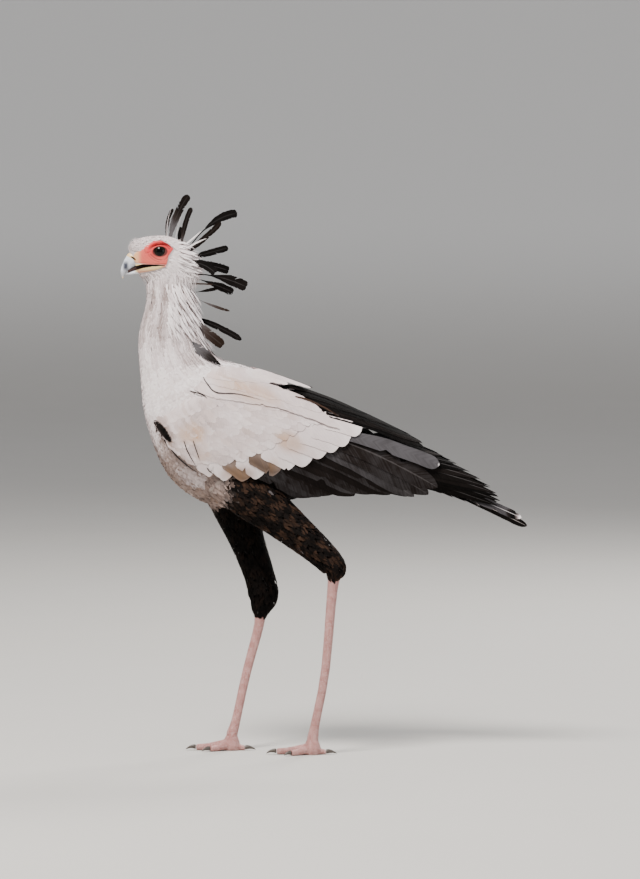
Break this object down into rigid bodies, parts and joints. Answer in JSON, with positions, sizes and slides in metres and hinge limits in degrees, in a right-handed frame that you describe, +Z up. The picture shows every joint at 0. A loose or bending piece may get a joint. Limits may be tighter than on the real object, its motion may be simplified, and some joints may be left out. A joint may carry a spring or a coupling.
{
  "type": "secretary bird",
  "caption": "Life-size still model of a standing long-legged bird of prey with a loose nape crest, folded wings and a bare face.",
  "frame": {"origin": "on the floor under the centre of the bird's overall box", "axes": "+Z up; the bird faces -X, its left side is at -Y and its right side at +Y"},
  "size_m": [0.752, 0.199, 1.0327],
  "materials": {
    "head": "short pale grey feathers, bare orange-red skin round the eye, black crest",
    "neck": "pale grey shaggy feathers",
    "torso": "pale grey feathers, darker underneath",
    "wing": "pale grey coverts, black flight feathers",
    "tail": "grey and black feathers with pale tips",
    "thigh": "black feathers mottled with rusty brown",
    "bill": "bluish grey horn, yellowish towards the face",
    "eye": "wet, dark brown with a black pupil",
    "leg": "dull pink scaly skin",
    "claw": "dark horn"
  },
  "bodies": {
    "root": {"bill_lower": "bill", "bill_upper": "bill", "claw_left_hind": "claw", "claw_left_inner": "claw", "claw_left_middle": "claw", "claw_left_outer": "claw", "claw_right_hind": "claw", "claw_right_inner": "claw", "claw_right_middle": "claw", "claw_right_outer": "claw", "eye_left": "eye", "eye_right": "eye", "foot_left": "leg", "foot_right": "leg", "head": "head", "neck": "neck", "shank_left": "leg", "shank_right": "leg", "tail": "tail", "thigh_left": "thigh", "thigh_right": "thigh", "torso": "torso", "wing_left": "wing", "wing_right": "wing"}
  },
  "joints": []
}
